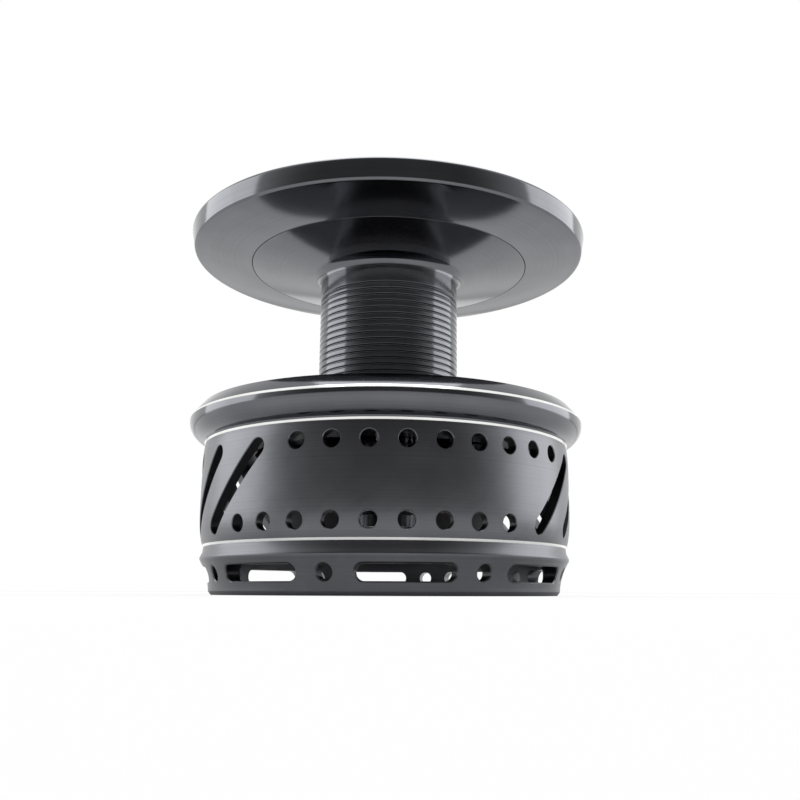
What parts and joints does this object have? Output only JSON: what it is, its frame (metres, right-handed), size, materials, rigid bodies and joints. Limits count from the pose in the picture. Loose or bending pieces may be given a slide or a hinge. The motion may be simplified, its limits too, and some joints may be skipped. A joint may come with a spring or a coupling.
{
  "type": "fishing reel spool",
  "caption": "Deep spool for a big-game spinning reel: grooved arbor, screwed lip ring, drilled skirt, bearings on a sleeve, drag washers and a clicker.",
  "frame": {"origin": "on the spool's axis, at the foot of the skirt that it stands on", "axes": "+Z along the axis from the skirt to the front lip; -Y is the side that is looked at"},
  "size_m": [0.075, 0.075, 0.067],
  "materials": {
    "black_anodised": "black anodised, turned, with polished bright edges",
    "lip_anodised": "black anodised, fine turned and glossy",
    "skirt_anodised": "black anodised, satin gloss, with a polished bright edge",
    "screw_steel": "stainless, satin",
    "bearing_steel": "ground",
    "ball_steel": "polished",
    "shield_steel": "pressed, satin",
    "cage_brass": "machined",
    "spacer_aluminium": "machined",
    "spring_steel": "spring steel, oiled",
    "carbon_cloth": "woven carbon friction sheet",
    "washer_steel": "lapped",
    "sleeve_steel": "stainless, turned",
    "gear_steel": "hardened, satin"
  },
  "bodies": {
    "spool": {"spool_body": "black_anodised", "lip_ring": "lip_anodised", "lip_screws": "screw_steel", "skirt": "skirt_anodised", "skirt_screws": "screw_steel", "front_bearing_outer": "bearing_steel", "front_bearing_shields": "shield_steel", "bearing_spacer": "spacer_aluminium", "rear_bearing_outer": "bearing_steel", "rear_bearing_shields": "shield_steel", "bearing_circlip": "spring_steel", "carbon_washer_1": "carbon_cloth", "carbon_washer_2": "carbon_cloth", "eared_washer": "washer_steel", "carbon_washer_3": "carbon_cloth", "carbon_washer_4": "carbon_cloth", "pressure_washer": "washer_steel", "snap_ring": "spring_steel", "pawl_pivot": "screw_steel", "pawl_spring": "spring_steel", "spring_screw": "screw_steel"},
    "sleeve": {"sleeve": "sleeve_steel", "front_bearing_inner": "bearing_steel", "rear_bearing_inner": "bearing_steel", "keyed_washer_1": "washer_steel", "keyed_washer_2": "washer_steel", "gear_spacer": "cage_brass", "click_gear": "gear_steel", "gear_circlip": "spring_steel"},
    "front_cage": {"front_bearing_cage": "cage_brass", "front_bearing_balls": "ball_steel"},
    "rear_cage": {"rear_bearing_cage": "cage_brass", "rear_bearing_balls": "ball_steel"},
    "click_pawl": {"click_pawl": "gear_steel"}
  },
  "joints": [
    {"name": "sleeve_spin", "type": "hinge", "parent": "spool", "child": "sleeve", "pos_m": [0, 0, 0.038], "axis": [0, 0, 1], "continuous": true},
    {"name": "front_cage_roll", "type": "hinge", "parent": "spool", "child": "front_cage", "pos_m": [0, 0, 0.0493], "axis": [0, 0, 1], "continuous": true},
    {"name": "rear_cage_roll", "type": "hinge", "parent": "spool", "child": "rear_cage", "pos_m": [0, 0, 0.0234], "axis": [0, 0, 1], "continuous": true},
    {"name": "pawl_lift", "type": "hinge", "parent": "spool", "child": "click_pawl", "pos_m": [0.014, -0.01557, 0.0163], "axis": [0, 0, 1], "range_deg": [0, 6], "stiffness_Nm_per_rad": 0.002, "springref_deg": -5.73}
  ],
  "couplings": [
    {"joint": "front_cage_roll", "follows": "sleeve_spin", "ratio": 0.42788},
    {"joint": "rear_cage_roll", "follows": "sleeve_spin", "ratio": 0.42788}
  ]
}
